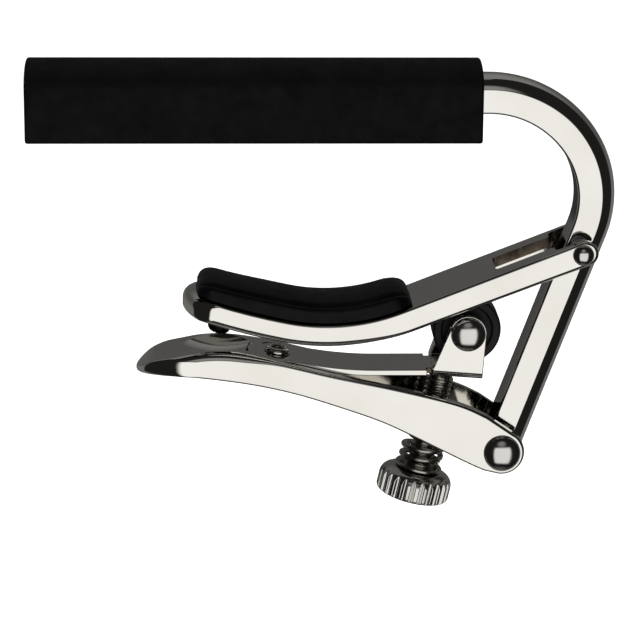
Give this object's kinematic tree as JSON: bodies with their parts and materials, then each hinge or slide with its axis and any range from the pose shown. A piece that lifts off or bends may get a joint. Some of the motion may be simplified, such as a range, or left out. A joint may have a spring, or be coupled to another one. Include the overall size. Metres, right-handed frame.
{
  "type": "guitar capo",
  "caption": "Lever-action guitar capo: a bent bar with a rubber fret sleeve, and a padded jaw that an over-centre lever and roller close on the neck.",
  "frame": {"origin": "middle of the fret sleeve's flat string face", "axes": "+X along the sleeve towards the bar's bend, +Y across the bar, +Z from the strings up through the sleeve"},
  "size_m": [0.0753, 0.0138, 0.0592],
  "materials": {
    "nickel": "polished nickel plate",
    "rivets": "polished domed heads and fluted knob",
    "steel": "plain steel screw, spring and washers",
    "rubber": "black rubber, matte to satin",
    "nylon": "black satin roller and spacers"
  },
  "bodies": {
    "frame": {"frame_bar": "nickel", "fret_sleeve": "rubber", "jaw_pivot_rivet": "rivets", "lever_pivot_rivet": "rivets", "jaw_washer_near": "nylon", "jaw_washer_far": "nylon", "lever_washer_near": "steel", "lever_washer_far": "steel"},
    "jaw": {"jaw_channel": "nickel", "jaw_pad": "rubber"},
    "lever": {"lever_channel": "nickel", "screw_bush": "steel", "strap_rivet": "rivets"},
    "arm": {"roller_arm": "nickel", "roller_axle": "rivets", "roller_washer_near": "steel", "roller_washer_far": "steel"},
    "roller": {"roller_tyre": "nylon", "roller_bush": "steel"},
    "screw_slider": {"spring_seat": "steel", "tension_spring": "steel"},
    "screw": {"adjusting_screw": "steel", "thumb_knob": "rivets"}
  },
  "joints": [
    {"name": "jaw_swing", "type": "hinge", "parent": "frame", "child": "jaw", "pos_m": [0.04192, 0, -0.01432], "axis": [0, -1, 0], "range_deg": [-18, 0]},
    {"name": "lever_swing", "type": "hinge", "parent": "frame", "child": "lever", "pos_m": [0.03223, 0, -0.04096], "axis": [0, -1, 0], "range_deg": [0, 100]},
    {"name": "arm_flex", "type": "hinge", "parent": "lever", "child": "arm", "pos_m": [0.00305, 0, -0.02865], "axis": [0, -1, 0], "range_deg": [-3.6, 0]},
    {"name": "roller_spin", "type": "hinge", "parent": "arm", "child": "roller", "pos_m": [0.0276, 0, -0.02525], "axis": [0, -1, 0], "continuous": true},
    {"name": "screw_travel", "type": "slide", "parent": "lever", "child": "screw_slider", "axis": [-0.2164, 0, -0.9763], "range_m": [0, 0.0013], "deforming": ["tension_spring"]},
    {"name": "screw_turn", "type": "hinge", "parent": "screw_slider", "child": "screw", "pos_m": [0.0209, 0, -0.0483], "axis": [-0.2164, 0, -0.9763], "range_deg": [0, 670]}
  ],
  "couplings": [
    {"joint": "screw_turn", "follows": "screw_travel", "rad_per_m": 8976},
    {"joint": "arm_flex", "follows": "screw_travel", "rad_per_m": -46.7}
  ]
}
